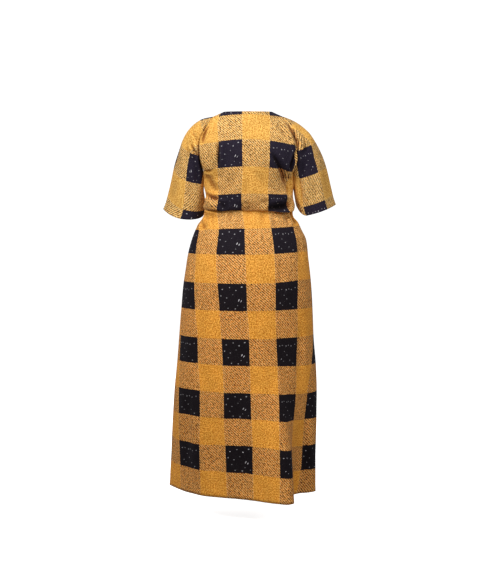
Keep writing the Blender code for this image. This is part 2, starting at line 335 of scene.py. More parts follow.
def along(places, values, at):
    """A smooth curve through a table's values that never overshoots them."""
    order = np.argsort(places)
    places, values = places[order], values[order]
    step = np.diff(places)
    slope = np.diff(values) / step
    tangent = np.zeros_like(values)
    tangent[0], tangent[-1] = slope[0], slope[-1]
    before, after = slope[:-1], slope[1:]
    turns = before * after > 0
    heavy = 2 * step[1:] + step[:-1], step[1:] + 2 * step[:-1]
    with np.errstate(divide="ignore", invalid="ignore"):
        mean = (heavy[0] + heavy[1]) / (heavy[0] / before + heavy[1] / after)
    tangent[1:-1] = np.where(turns, mean, 0.0)
    at = np.clip(np.asarray(at, float), places[0], places[-1])
    k = np.clip(np.searchsorted(places, at, side="right") - 1, 0, len(step) - 1)
    s = (at - places[k]) / step[k]
    return (
        values[k] * (1 + 2 * s) * (1 - s) ** 2
        + tangent[k] * step[k] * s * (1 - s) ** 2
        + values[k + 1] * s * s * (3 - 2 * s)
        + tangent[k + 1] * step[k] * s * s * (s - 1)
    )


def even(points, shares):
    """Points at the given shares of a line's length."""
    length = np.concatenate([[0], np.cumsum(np.linalg.norm(np.diff(points, axis=0), axis=1))])
    at = np.asarray(shares) * length[-1]
    return np.stack([np.interp(at, length, points[:, i]) for i in range(points.shape[1])], 1)


BODY_AT = table(BODY)
HEM_AT = table(HEM)
CUFFS = table(CUFF)
EDGES = {1: table(ARMHOLE_BACK), -1: table(ARMHOLE_FRONT)}
CENTRES = {1: table(CENTRE_BACK), -1: table(CENTRE_FRONT)}


def body_at(z, name):
    return along(BODY_AT["z"], BODY_AT[name], z)


def ring(z, angle):
    """The body's section at a height below the underarm: x and y at angles from centre back, positive to the left."""
    turn = np.radians(angle)
    side, hem = body_at(z, "side"), body_at(z, "hem")
    left, right = body_at(z, "left"), body_at(z, "right")
    wide = np.where(angle > 0, left, right)
    deep = np.where(np.abs(angle) < 90, body_at(z, "back") - side, side - body_at(z, "front"))
    plain = 1 / np.sqrt((np.sin(turn) / wide) ** 2 + (np.cos(turn) / deep) ** 2)
    wrapped = np.concatenate([HEM_AT["angle"][:-1] - 360, HEM_AT["angle"], HEM_AT["angle"][1:] + 360])
    reach = np.concatenate([HEM_AT["reach"][:-1], HEM_AT["reach"], HEM_AT["reach"][1:]])
    folded = along(wrapped, reach, angle)
    r = plain + (folded - plain) * hem
    return r * np.sin(turn), side + r * np.cos(turn)


def fitted(z, x):
    """x scaled so that the section keeps its table's widths on both sides."""
    whole, _ = ring(z, np.linspace(-180, 180, 721))
    left, right = body_at(z, "left"), body_at(z, "right")
    return np.where(x > 0, x * left / whole.max(), x * right / -whole.min())


def top_edge(face, share):
    """The panel's upper edge from the centre to the armhole: first the neck, then the shoulder seam."""
    neck = np.clip(share / NECK_SHARE, 0, 1) * np.pi / 2
    out = np.clip((share - NECK_SHARE) / (1 - NECK_SHARE), 0, 1)
    y, z = BACK_NECK if face > 0 else FRONT_NECK
    x = NECK_HALF * np.sin(neck) + (SHOULDER[0] - NECK_HALF) * out
    return np.stack([x, y * np.cos(neck) + SHOULDER_GAP / 2 * face * np.sin(neck), z * np.cos(neck) + SHOULDER[2] * out], 1)


def top_line(share, face):
    """A panel's surface above the underarm: a line curving down from its centre to the armhole."""
    out = np.linspace(0, 1, 161)

    def arc(share):
        edge = [along(EDGES[face]["share"], EDGES[face][name], share) for name in "xyz"]
        y, z, turn = (along(CENTRES[face]["share"], CENTRES[face][name], share) for name in ("y", "z", "turn"))
        turn = np.radians(turn)
        across = np.sin(out * turn) / np.sin(turn)
        back = (np.cos(out * turn) - np.cos(turn)) / (1 - np.cos(turn))
        return np.stack([edge[0] * across, edge[1] + (y - edge[1]) * back, z + (edge[2] - z) * across**2], 1)

    return arc(share) + share**3 * (top_edge(face, out) - arc(1.0))

# Where the print's row lines lie at the back: the height of each, counted in
# squares down the cloth, at the left, the middle and the right. The blouse over
# the waist takes up part of rows 3 to 5.
ROWS = """
row    left    middle  right
-0.20   0.010   0.004   0.004
0.00   -0.052  -0.014  -0.046
1.00   -0.128  -0.106  -0.131
2.00   -0.223  -0.204  -0.226
3.00   -0.315  -0.301  -0.306
4.00   -0.362  -0.359  -0.347
5.00   -0.433  -0.426  -0.418
6.00   -0.518  -0.519  -0.511
7.00   -0.621  -0.622  -0.612
8.00   -0.719  -0.720  -0.717
9.00   -0.820  -0.821  -0.819
10.00  -0.914  -0.918  -0.926
11.00  -1.013  -1.017  -1.030
12.00  -1.110  -1.111  -1.128
13.00  -1.216  -1.210  -1.228
14.00  -1.313  -1.312  -1.322
15.00  -1.413  -1.412  -1.422
"""
# Where its column lines lie at the back: metres of cloth from the centre, more
# to the left, for the lines from the third on the left to the fourth on the
# right. The light column that the neck is centred on lies between c0 and r1.
COLUMNS = """
z       l3      l2      l1      c0      r1      r2      r3      r4
0.000   0.336   0.231   0.126   0.021  -0.086  -0.192  -0.297  -0.402
-0.110  0.284   0.186   0.108   0.021  -0.079  -0.180  -0.285  -0.390
-0.205  0.300   0.201   0.113   0.020  -0.077  -0.178  -0.283  -0.388
-0.305  0.312   0.207   0.113   0.024  -0.074  -0.150  -0.255  -0.360
-0.360  0.312   0.207   0.114   0.022  -0.074  -0.155  -0.260  -0.365
-0.430  0.303   0.199   0.108   0.013  -0.085  -0.180  -0.285  -0.390
-0.520  0.318   0.213   0.117   0.010  -0.096  -0.194  -0.297  -0.402
-0.620  0.316   0.212   0.112   0.006  -0.100  -0.194  -0.299  -0.404
-0.720  0.308   0.205   0.104   0.003  -0.101  -0.191  -0.299  -0.404
-0.820  0.298   0.196   0.096  -0.004  -0.103  -0.191  -0.297  -0.402
-0.915  0.296   0.193   0.091  -0.006  -0.107  -0.188  -0.270  -0.375
-1.015  0.294   0.182   0.088  -0.009  -0.110  -0.192  -0.250  -0.355
-1.110  0.295   0.183   0.088  -0.012  -0.113  -0.205  -0.264  -0.369
-1.215  0.300   0.189   0.085  -0.017  -0.119  -0.220  -0.297  -0.402
-1.315  0.302   0.189   0.083  -0.019  -0.125  -0.228  -0.325  -0.430
-1.410  0.303   0.189   0.081  -0.021  -0.127  -0.230  -0.335  -0.440
"""
# The front's rows run level from the back's at the side seams, and one light
# column lies on its middle.
# The sleeves' print, in squares: how far its row lines stand from the cuff, how
# much they tilt, and where its column line lies from the sleeve's top line at
# five heights from the cuff up.
SLEEVE_PRINT = """
side    row     tilt    at0     at9     at14    at20    at25
1       0.65   -0.13    1.04    1.03    1.05    1.19    1.20
-1      0.62    0.03    0.20    0.24    0.28    0.22    0.30
"""
# How the sleeves' columns narrow towards the cuff, at the same heights.
SPREAD = {1: (1.0, 0.95, 0.85, 0.85, 0.85), -1: (1.20, 1.05, 0.86, 0.86, 0.86)}


ROWS_AT, COLUMNS_AT, SLEEVE_PRINT_AT = (table(t) for t in (ROWS, COLUMNS, SLEEVE_PRINT))
NEAR_SEAM = (0.972, 0.980, 0.986, 0.991, 0.995, 0.998, 1.0)


def half(count):
    return np.concatenate([np.linspace(0, 0.965, count), NEAR_SEAM])


def printed(face, x, z, out):
    """The place on the printed cloth, in squares across to the right and down, of points at their metres of cloth from the centre."""
    heights = [along(ROWS_AT["row"], ROWS_AT[k], np.linspace(-0.2, 15, 305)) for k in ("left", "middle", "right")]
    downs = [np.interp(-z, -h, np.linspace(-0.2, 15, 305)) for h in heights]
    over = np.clip(x / 0.19, -1, 1)
    down = downs[1] + (np.where(over > 0, downs[0], downs[2]) - downs[1]) * over**2
    if face < 0:
        return 0.5 - out / CHECK, down
    names = [name for name in COLUMNS_AT if name != "z"]
    lines = np.stack([along(COLUMNS_AT["z"], COLUMNS_AT[name], z) for name in names])
    across = (lines[0] - out) / CHECK - 3
    for k in range(len(names) - 1):
        share = (lines[k] - out) / (lines[k] - lines[k + 1])
        across = np.where(out <= lines[k], k - 3 + share, across)
    return np.where(out <= lines[-1], len(names) - 4 + (lines[-1] - out) / CHECK, across), down


def low_points(z, face, shares):
    """One row of a panel below the underarm, seam to seam."""
    rows = []
    for hand in (-1, 1):
        sweep = np.linspace(0, 90, 361) * hand
        angle = sweep if face > 0 else 180 * hand - sweep
        x, y = ring(z, angle)
        points = np.stack([fitted(z, x), y, np.full_like(x, z)], 1)
        own = np.abs(shares[shares * hand > 0] if hand < 0 else shares[shares >= 0])
        rows.append(even(points, own))
    return np.concatenate(rows)


def top_points(share, face, shares):
    own = np.abs(shares)
    here = top_edge(face, own) if share == 1 else even(top_line(share, face), own)
    here[:, 0] *= np.where(shares < 0, -1, 1)
    return here


def smoothed(grid, times, closed=False):
    """The grid with its inner points evened out along and across."""
    for _ in range(times):
        if closed:
            across = (np.roll(grid, 1, 1) + 2 * grid + np.roll(grid, -1, 1)) / 4
            grid = np.concatenate([grid[:1], across[1:-1], grid[-1:]])
            grid[1:-1] = (grid[:-2] + 2 * grid[1:-1] + grid[2:]) / 4
        else:
            inner = grid[1:-1, 1:-1]
            across = (grid[1:-1, :-2] + 2 * inner + grid[1:-1, 2:]) / 4
            up = (grid[:-2, 1:-1] + 2 * inner + grid[2:, 1:-1]) / 4
            grid = grid.copy()
            grid[1:-1, 1:-1] = (across + up) / 2
    return grid


def normals(grid, closed=False):
    """Outward normals of a grid whose rows run up and whose columns run round from right to left."""
    if closed:
        across = np.roll(grid, -1, 1) - np.roll(grid, 1, 1)
    else:
        across = np.gradient(grid, axis=1)
    n = np.cross(np.gradient(grid, axis=0), across)
    return n / np.maximum(np.linalg.norm(n, axis=2), 1e-12)[..., None]


def ripple(a, b, seed, low, high, count=14):
    """A soft uneven pattern from -1 to 1 of waves between two lengths."""
    random = np.random.RandomState(seed)
    total = np.zeros_like(a)
    for _ in range(count):
        turn, length, phase = random.uniform(0, np.pi), np.exp(random.uniform(np.log(low), np.log(high))), random.uniform(0, 6.28)
        total += np.sin((a * np.cos(turn) + b * np.sin(turn)) * 2 * np.pi / length + phase)
    return total / np.sqrt(count) / 1.6


def creases(text, across, up):
    """The depth of a table of strokes, each a soft uneven trough with lower ridges beside it."""
    strokes = table(text)
    total = np.zeros_like(across)
    for x0, z0, x1, z1, deep, wide, bow in zip(*(strokes[k] for k in ("x0", "z0", "x1", "z1", "deep", "wide", "bow"))):
        length = np.hypot(x1 - x0, z1 - z0)
        ex, ez = (x1 - x0) / length, (z1 - z0) / length
        s = ((across - x0) * ex + (up - z0) * ez) / length
        d = (across - x0) * -ez + (up - z0) * ex - bow / 1000 * 4 * s * (1 - s)
        w = wide / 1000 * (0.8 + 0.5 * np.clip(s, 0, 1))
        taper = np.clip(np.sin(np.pi * np.clip(s, 0, 1)), 0, 1) ** 0.7
        total += deep / 1000 * taper * (-np.exp(-((d / w) ** 2)) + 0.45 * np.exp(-(((np.abs(d) - 2.0 * w) / w) ** 2)))
    return total


def facing(n, face):
    """How far the strokes of the back or the front reach: they fade out where the cloth turns away."""
    return np.clip(n[..., 1] * face * 3, 0, 1)


def flange(distance, width, deep):
    """The small roll of the cloth into a seam, by the distance from it."""
    return -deep * np.exp(-((distance / width) ** 2))


def seam_roll(distance, z):
    """The roll of the cloth into a side seam or, deeper below the shoulder, into an armhole seam."""
    arm = np.clip((z + 0.245) / 0.03, 0, 1) * np.clip((-0.034 - z) / 0.035, 0, 1)
    return flange(distance, 0.0022 + 0.0020 * arm, 0.0014 + 0.0070 * arm)


def panel(face, left, right, rows, tops, strokes, seed):
    """A fine panel: its points, and the place of each on the flat cloth in squares of the print."""
    shares = np.concatenate([-half(right)[:0:-1], half(left)])
    grid = np.stack([low_points(z, face, shares) for z in rows] + [top_points(share, face, shares) for share in tops])
    grid = smoothed(grid, 6)
    centre = int(np.argmin(np.abs(shares)))
    step = np.linalg.norm(np.diff(grid, axis=1), axis=2)
    along_row = np.concatenate([np.zeros((len(grid), 1)), np.cumsum(step, 1)], 1)
    out = along_row - along_row[:, centre : centre + 1]
    x, z = grid[..., 0], grid[..., 2]
    u, v = printed(face, x, z, out)
    n = normals(grid) * -1
    if (n[len(rows) // 2, centre] * (0, face, 0)).sum() < 0:
        n = -n
    low = np.clip((-0.42 - z) / 0.5, 0, 1)
    end = np.minimum(along_row, along_row[:, -1:] - along_row)
    hold = np.clip(end / 0.02, 0, 1)
    near = np.clip(end / 0.010, 0, 1)
    folds = creases(strokes, x, z) * facing(n, face) * (near + (1 - near) * 0.35 * np.clip((z + 0.245) / 0.03, 0, 1))
    push = np.zeros_like(x)
    push += 0.0016 * low * ripple(out, z * 0.12, seed, 0.07, 0.24)
    push += 0.0008 * ripple(out, z * 0.6, seed + 1, 0.05, 0.13) * (0.4 + 0.6 * (z > -0.42))
    pucker = 1 + 0.35 * ripple(out * 0.2, z, seed + 2, 0.012, 0.03)
    seam = seam_roll(end, z) * pucker
    push = push * hold + folds + seam
    hem = z - rows[0]
    push += flange(np.abs(hem - 0.024), 0.0016, 0.0005) * (1 + 0.5 * ripple(out, z, seed + 3, 0.01, 0.03))
    top = np.linalg.norm(grid - grid[-1:, :, :], axis=2)
    neck = (np.abs(shares) < NECK_SHARE)[None, :]
    push += np.where(neck, flange(np.abs(top - 0.009), 0.0016, 0.0005), flange(top, 0.0022, 0.0012))
    push[-1] *= np.where(neck[0], 0, 1)
    double = np.clip((0.026 - hem) / 0.002, 0, 1) + np.where(neck, np.clip((0.011 - top) / 0.002, 0, 1), 0)
    drop = -0.014 * np.exp(-(((z + 0.347) / 0.010) ** 2)) * hold
    swell = 0.0105 * np.exp(-(((z + 0.258) / 0.042) ** 2)) * np.exp(-((end / 0.045) ** 2))
    grid = grid + n * (push + swell)[..., None]
    grid[..., 2] += drop * (face > 0) + drop * 0.7 * (face < 0)
    # The last value returned is the strength of the painted crease shade: how deep the creases and seam rolls run,
    # faded out on the skirt below z = -0.48.
    return grid, u, v, np.clip(double, 0, 1), np.clip(-(folds + seam * 1.2) / 0.010, 0, 1) * np.clip((z + 0.48) / 0.06, 0, 1)


def armhole(hand):
    loop, way = [], []
    shares = np.concatenate([np.linspace(0, 0.9, 46), np.linspace(0.92, 1, 5)])
    for face in (1, -1):
        lines = [top_line(share, face) for share in shares]
        if face < 0:
            lines = lines[-2:0:-1]
        loop += [line[-1] for line in lines]
        way += [line[-1] - line[-4] for line in lines]
    loop, way = np.array(loop), np.array(way)
    loop[:, 0] *= hand
    way[:, 0] *= hand
    way /= np.linalg.norm(way, axis=1)[:, None]
    for _ in range(60):
        way = (np.roll(way, 1, 0) + 2 * way + np.roll(way, -1, 0)) / 4
    way /= np.linalg.norm(way, axis=1)[:, None]
    steps = np.linalg.norm(np.roll(loop, -1, 0) - loop, axis=1)
    return loop, np.concatenate([[0], np.cumsum(steps)[:-1]]) / steps.sum(), way


def sleeve(hand, count, strokes, seed):
    row = {name: CUFFS[name][list(CUFFS["side"]).index(hand)] for name in CUFFS}
    start, share, leaving = armhole(hand)
    around = 2 * np.pi * share
    x = row["x"] - hand * row["across"] * np.cos(around)
    outer = -np.cos(around) > 0
    y = row["y"] + row["deep"] * np.sin(around) * np.where(outer, np.abs(np.sin(around)) ** (2 * CUFF_POINT - 1), 1)
    z = row["z"] + row["rise"] * hand * (x - row["x"]) - row["fall"] * (y - row["y"]) + row["lift"] * np.clip(np.cos(around) - 0.5, 0, 1) ** 2
    cuff = np.stack([x, y, z], 1)
    axis = np.array([row["lean"] * hand, -0.10, -1.0])
    axis /= np.linalg.norm(axis)
    high = ((1 - np.cos(around)) / 2)[:, None]
    mix = np.clip(high * 1.25, 0, 1)
    first = leaving * mix + axis * (1 - mix)
    first /= np.linalg.norm(first, axis=1)[:, None]
    first += np.array([0, 0, row["up"]]) * high**3
    first /= np.linalg.norm(first, axis=1)[:, None]
    start = start + np.array([hand, 0, 0]) * (1 - mix) * 0.0010
    reach = np.linalg.norm(cuff - start, axis=1)[:, None]
    pull = 0.9 + row["swell"] * high
    late = 0.9 + row["late"] * high
    rings = []
    for s in np.linspace(1, 0, count):
        rings.append(
            start * (1 + 2 * s) * (1 - s) ** 2
            + first * reach * pull * s * (1 - s) ** 2
            + cuff * s * s * (3 - 2 * s)
            + axis * reach * late * s * s * (s - 1)
        )
    grid = smoothed(np.stack(rings), 10, True)
    up = np.concatenate([np.zeros((1, grid.shape[1])), np.cumsum(np.linalg.norm(np.diff(grid, axis=0), axis=2), 0)])
    step = np.linalg.norm(np.diff(grid, axis=1, append=grid[:, :1]), axis=2)
    round_ = np.cumsum(step, 1) - step
    middle = int(np.argmin(np.abs(around - np.pi)))
    out = round_ - round_[:, middle : middle + 1]
    mark = {name: SLEEVE_PRINT_AT[name][list(SLEEVE_PRINT_AT["side"]).index(hand)] for name in SLEEVE_PRINT_AT}
    heights = (0, 0.09, 0.145, 0.20, 0.25)
    column = np.interp(up, heights, [mark[k] for k in ("at0", "at9", "at14", "at20", "at25")])
    u = out / CHECK * hand * np.interp(up, heights, SPREAD[hand]) + column
    v = -(up / CHECK) - mark["tilt"] * u - mark["row"]
    n = normals(grid, True)
    if n[count // 2, middle, 0] * hand < 0:
        n = -n
    total = up[-1:]
    x, z = grid[..., 0], grid[..., 2]
    own = creases(strokes, x * hand, z) * facing(n, 1) * np.clip((total - up) / 0.012, 0, 1)
    body = creases(BACK_CREASES, x, z) * facing(n, 1) + creases(FRONT_CREASES, x, z) * facing(n, -1)
    near = np.clip((total - up) / 0.010, 0, 1)
    folds = own + body * np.clip((z + 0.245) / 0.03, 0, 1) * np.clip(1.6 - (total - up) / 0.05, 0, 1) * (0.35 + 0.65 * near)
    push = np.zeros_like(x)
    push += 0.0012 * ripple(out, up * 0.5, seed, 0.05, 0.14)
    close = np.clip((total - up) / 0.02, 0, 1)
    seam = seam_roll(total - up, z) * (1 + 0.35 * ripple(out, up, seed + 1, 0.012, 0.03))
    push = push * close + folds + seam
    push += flange(np.abs(up - 0.022), 0.0016, 0.0005)
    double = np.clip((0.024 - up) / 0.002, 0, 1)
    grid = grid + n * push[..., None]
    # The last value returned is the strength of the painted crease shade: how deep the sleeve's creases and its armhole
    # seam roll run.
    return grid, u, v, double, np.clip(-(folds + seam * 1.2) / 0.010, 0, 1)


def piece(name, grid, u, v, double, painted_crease_shade, outward, closed=False):
    rows, columns = grid.shape[:2]
    i, j = np.meshgrid(np.arange(rows - 1), np.arange(columns if closed else columns - 1), indexing="ij")
    k = (j + 1) % columns
    quads = np.stack([i * columns + j, i * columns + k, (i + 1) * columns + k, (i + 1) * columns + j], -1).reshape(-1, 4)
    if outward:
        quads = quads[:, ::-1]
    mesh = bpy.data.meshes.new(name)
    mesh.from_pydata(grid.reshape(-1, 3).tolist(), [], quads.tolist())
    spot = mesh.attributes.new("cloth", "FLOAT_VECTOR", "POINT")
    spot.data.foreach_set("vector", np.stack([u, v, double], -1).astype(np.float32).ravel())
    # a point attribute with the strength of the painted crease shade, which the material darkens by
    depth = mesh.attributes.new("painted_crease_shade", "FLOAT", "POINT")
    depth.data.foreach_set("value", painted_crease_shade.astype(np.float32).ravel())
    mesh.shade_smooth()
    ob = bpy.data.objects.new(name, mesh)
    bpy.context.scene.collection.objects.link(ob)
    group = ob.vertex_groups.new(name="double")
    flat = double.ravel()
    for level in (0.0, 0.5, 1.0):
        chosen = np.nonzero(np.abs(flat - level) <= 0.25)[0]
        group.add(chosen.tolist(), level, "REPLACE")
    wall = ob.modifiers.new("wall", "SOLIDIFY")
    wall.thickness = EDGE
    wall.offset = -1
    wall.vertex_group = "double"
    wall.thickness_vertex_group = SINGLE / EDGE
    return ob


class Maker:
    """Short names for building a material's nodes."""

    def __init__(self, name):
        self.material = bpy.data.materials.new(name)
        self.material.use_nodes = True
        self.tree = self.material.node_tree
        self.shader = self.tree.nodes["Principled BSDF"]

    def feed(self, socket, value):
        if isinstance(value, bpy.types.NodeSocket):
            self.tree.links.new(value, socket)
        else:
            socket.default_value = value

    def math(self, operation, *values, clamp=False):
        node = self.tree.nodes.new("ShaderNodeMath")
        node.operation, node.use_clamp = operation, clamp
        for socket, value in zip(node.inputs, values):
            self.feed(socket, value)
        return node.outputs[0]

    def vector(self, operation, *values):
        node = self.tree.nodes.new("ShaderNodeVectorMath")
        node.operation = operation
        for socket, value in zip(node.inputs, values):
            self.feed(socket, value)
        return node.outputs["Value" if operation in ("DISTANCE", "LENGTH", "DOT_PRODUCT") else "Vector"]

    def join(self, x, y, z=0.0):
        node = self.tree.nodes.new("ShaderNodeCombineXYZ")
        for socket, value in zip(node.inputs, (x, y, z)):
            self.feed(socket, value)
        return node.outputs[0]

    def split(self, value):
        node = self.tree.nodes.new("ShaderNodeSeparateXYZ")
        self.feed(node.inputs[0], value)
        return node.outputs[0], node.outputs[1], node.outputs[2]

    def noise(self, place, scale, detail=2.0, roughness=0.5):
        node = self.tree.nodes.new("ShaderNodeTexNoise")
        self.feed(node.inputs["Vector"], place)
        self.feed(node.inputs["Scale"], scale)
        self.feed(node.inputs["Detail"], detail)
        self.feed(node.inputs["Roughness"], roughness)
        return node.outputs[0]

    def ramp(self, value, low, high, to_low=0.0, to_high=1.0, smooth=True):
        node = self.tree.nodes.new("ShaderNodeMapRange")
        node.interpolation_type = "SMOOTHSTEP" if smooth else "LINEAR"
        for socket, what in zip(node.inputs, (value, low, high, to_low, to_high)):
            self.feed(socket, what)
        return node.outputs[0]

    def mix(self, share, a, b, blend="MIX"):
        node = self.tree.nodes.new("ShaderNodeMix")
        node.data_type, node.blend_type = "RGBA", blend
        self.feed(node.inputs[0], share)
        self.feed(node.inputs[6], a if isinstance(a, bpy.types.NodeSocket) else (*a, 1))
        self.feed(node.inputs[7], b if isinstance(b, bpy.types.NodeSocket) else (*b, 1))
        return node.outputs[2]


# The marks in the dark squares, in squares from the upper left corner: half
# length and half width in hundredths, and the way that each lies.
SPECKS = """
set     u       v       long    wide    turn    white
0       0.16    0.22    2.0     1.6     0       0.75
0       0.42    0.14    1.7     1.5     0       0.60
0       0.63    0.24    2.1     1.7     0       0.90
0       0.84    0.12    2.8     1.5     20      0.75
0       0.09    0.45    2.2     1.5     70      0.65
0       0.30    0.52    1.9     1.5     0       0.50
0       0.52    0.40    1.4     1.3     0       0.35
0       0.22    0.70    1.6     1.4     0       0.45
0       0.72    0.60    4.6     1.3     62      0.95
0       0.80    0.64    4.2     1.2     62      0.85
0       0.68    0.80    1.5     1.3     0       0.45
0       0.33    0.90    1.9     1.4     0       0.60
0       0.58    0.92    2.4     1.4     10      0.70
0       0.90    0.86    1.5     1.3     0       0.40
2       0.14    0.27    2.0     1.5     0       0.65
2       0.26    0.25    1.5     1.5     0       0.50
2       0.44    0.28    2.0     1.5     90      0.75
2       0.55    0.26    1.5     1.4     0       0.60
2       0.68    0.29    2.2     1.3     80      0.55
2       0.86    0.24    1.6     1.5     0       0.60
2       0.36    0.47    1.5     1.4     0       0.40
2       0.48    0.60    1.8     1.4     0       0.60
2       0.20    0.74    2.4     1.3     45      0.55
2       0.30    0.82    1.5     1.3     0       0.40
2       0.62    0.78    1.6     1.4     0       0.45
2       0.78    0.90    2.0     1.5     0       0.55
"""


def print_material(name, worn=1.0):
    """Check cotton: plain, hatched and dark squares with small marks, over a plain weave, with painted shade in the
    creases and painted light towards the top.
    """
    m = Maker(name)
    spot = m.tree.nodes.new("ShaderNodeAttribute")
    spot.attribute_name = "cloth"
    u0, v0, _ = m.split(spot.outputs["Vector"])
    flat = m.join(u0, v0)
    wobble = m.noise(m.vector("SCALE", flat), 1.0)
    wob = m.noise(flat, 7.0, 3.0)
    wob2 = m.noise(m.vector("ADD", flat, (31.7, 11.3, 0)), 7.0, 3.0)
    u = m.math("MULTIPLY_ADD", m.math("SUBTRACT", wob, 0.5), 0.035, u0)
    v = m.math("MULTIPLY_ADD", m.math("SUBTRACT", wob2, 0.5), 0.035, v0)
    column, row = m.math("FLOOR", u), m.math("FLOOR", v)
    fu, fv = m.math("SUBTRACT", u, column), m.math("SUBTRACT", v, row)
    dark_column = m.math("FLOORED_MODULO", column, 2.0)
    dark_row = m.math("FLOORED_MODULO", row, 2.0)
    both = m.math("MULTIPLY", dark_column, dark_row)
    one = m.math("SUBTRACT", m.math("ADD", dark_column, dark_row), m.math("MULTIPLY", both, 2.0))

    # the plain squares' fine mottling, with painted light towards the top
    fine = m.noise(flat, 46.0, 4.0, 0.6)
    grain = m.noise(m.vector("ADD", flat, (5.1, 7.7, 0)), 21.0, 3.0, 0.65)
    # the share below is 1 at the top of the cloth's rows and 0 nine rows of squares down; the lighter, paler colours it
    # mixes into the plain, hatched and dark squares are painted light and painted sheen from the overhead lamp
    high = m.ramp(v0, -1.0, 9.0, 1.0, 0.0)
    slow = m.noise(m.vector("ADD", flat, (2.3, 9.1, 0)), 2.2, 2.0)
    mottled = m.math("ADD", m.math("MULTIPLY", fine, 0.35), m.math("MULTIPLY", grain, 0.65))
    plain = m.mix(m.ramp(mottled, 0.41, 0.60), (0.53, 0.125, 0.004), (1.0, 0.52, 0.080))
    # the plain squares' colours with painted light, used near the top
    upper = m.mix(m.ramp(mottled, 0.41, 0.60), (0.48, 0.160, 0.014), (0.92, 0.59, 0.150))
    plain = m.mix(high, plain, upper)
    plain = m.mix(m.ramp(fine, 0.60, 0.70), plain, (0.97, 0.66, 0.22))

    # the hatched squares' short slanting dashes
    across = m.math("SUBTRACT", v0, u0)
    length = m.math("ADD", v0, u0)
    bent = m.math("MULTIPLY_ADD", m.math("SUBTRACT", grain, 0.5), 0.085, across)
    stripe = m.math("SINE", m.math("MULTIPLY", bent, 10.4 * 2 * np.pi))
    breaks = m.noise(m.join(m.math("MULTIPLY", length, 5.5), m.math("MULTIPLY", across, 10.4)), 1.4, 2.0, 0.6)
    dash = m.ramp(m.math("ADD", stripe, m.math("MULTIPLY", m.math("SUBTRACT", breaks, 0.5), 4.6)), -0.18, 0.12)
    deep = m.ramp(m.noise(m.vector("ADD", flat, (17.0, 3.0, 0)), 15.0, 3.0, 0.65), 0.38, 0.58, 0.35, 1.0)
    ground = m.mix(m.ramp(mottled, 0.41, 0.60), (0.74, 0.23, 0.022), (1.0, 0.55, 0.17))
    # the hatched squares' ground, lightened towards the top as painted light
    ground = m.mix(high, ground, m.mix(m.ramp(mottled, 0.41, 0.60), (0.70, 0.31, 0.050), (1.0, 0.70, 0.28)))
    ink = m.mix(m.ramp(grain, 0.35, 0.65), (0.018, 0.005, 0.004), (0.060, 0.018, 0.010))
    hatched = m.mix(m.math("MULTIPLY", dash, deep), ground, ink)

    # the dark squares with their marks
    dark = m.mix(m.ramp(mottled, 0.35, 0.65), (0.0050, 0.0032, 0.0042), (0.0110, 0.0070, 0.0090))
    # the dark squares, lighter and bluer towards the top as painted light and painted sheen
    dark = m.mix(high, dark, m.mix(m.ramp(mottled, 0.35, 0.65), (0.0120, 0.0090, 0.0170), (0.0240, 0.0180, 0.0330)))
    marks = None
    kind = m.math("FLOORED_MODULO", m.math("ADD", column, 1.0), 4.0)
    rows = table(SPECKS)
    for number in sorted(set(rows["set"])):
        found = None
        for k in np.nonzero(rows["set"] == number)[0]:
            turn = np.radians(rows["turn"][k])
            du, dv = m.math("SUBTRACT", fu, float(rows["u"][k])), m.math("SUBTRACT", fv, float(rows["v"][k]))
            long, wide = rows["long"][k] / 100, rows["wide"][k] / 100
            a = m.math("MULTIPLY_ADD", du, float(np.cos(turn) / long), m.math("MULTIPLY", dv, float(-np.sin(turn) / long)))
            b = m.math("MULTIPLY_ADD", du, float(np.sin(turn) / wide), m.math("MULTIPLY", dv, float(np.cos(turn) / wide)))
            near = m.math("ADD", m.math("MULTIPLY", a, a), m.math("MULTIPLY", b, b))
            mark = m.ramp(near, 0.45, 1.5, float(rows["white"][k]), 0.0)
            found = mark if found is None else m.math("MAXIMUM", found, mark)
        found = m.math("MULTIPLY", found, m.math("COMPARE", kind, float(number), 0.5))
        marks = found if marks is None else m.math("MAXIMUM", marks, found)
    dust = m.ramp(m.noise(flat, 60.0, 1.0), 0.70, 0.78, 0.0, 0.22)
    dark = m.mix(m.math("MAXIMUM", marks, dust), dark, (0.62, 0.60, 0.62))

    colour = m.mix(one, plain, hatched)
    colour = m.mix(both, colour, dark)
    # a thin pale line where two columns meet
    gap = m.math("MINIMUM", fu, m.math("SUBTRACT", 1.0, fu))
    pale = m.math("MULTIPLY", m.ramp(gap, 0.006, 0.022, 0.30, 0.0), m.ramp(grain, 0.45, 0.62))
    pale = m.math("MULTIPLY", pale, m.math("SUBTRACT", 1.0, both))
    colour = m.mix(pale, colour, (0.92, 0.72, 0.42))
    shade = m.ramp(slow, 0.3, 0.7, 0.93, 1.05)
    colour = m.mix(1.0, colour, m.join(shade, shade, shade), "MULTIPLY")
    # painted crease shade: the colour is multiplied towards dark brown where the creases and the armhole seams run
    # deepest, standing in for the shade that falls into them
    depth = m.tree.nodes.new("ShaderNodeAttribute")
    depth.attribute_name = "painted_crease_shade"
    colour = m.mix(m.ramp(depth.outputs["Fac"], 0.12, 0.85, 0.0, 0.85), colour, (0.36, 0.20, 0.13), "MULTIPLY")
    m.feed(m.shader.inputs["Base Color"], colour)

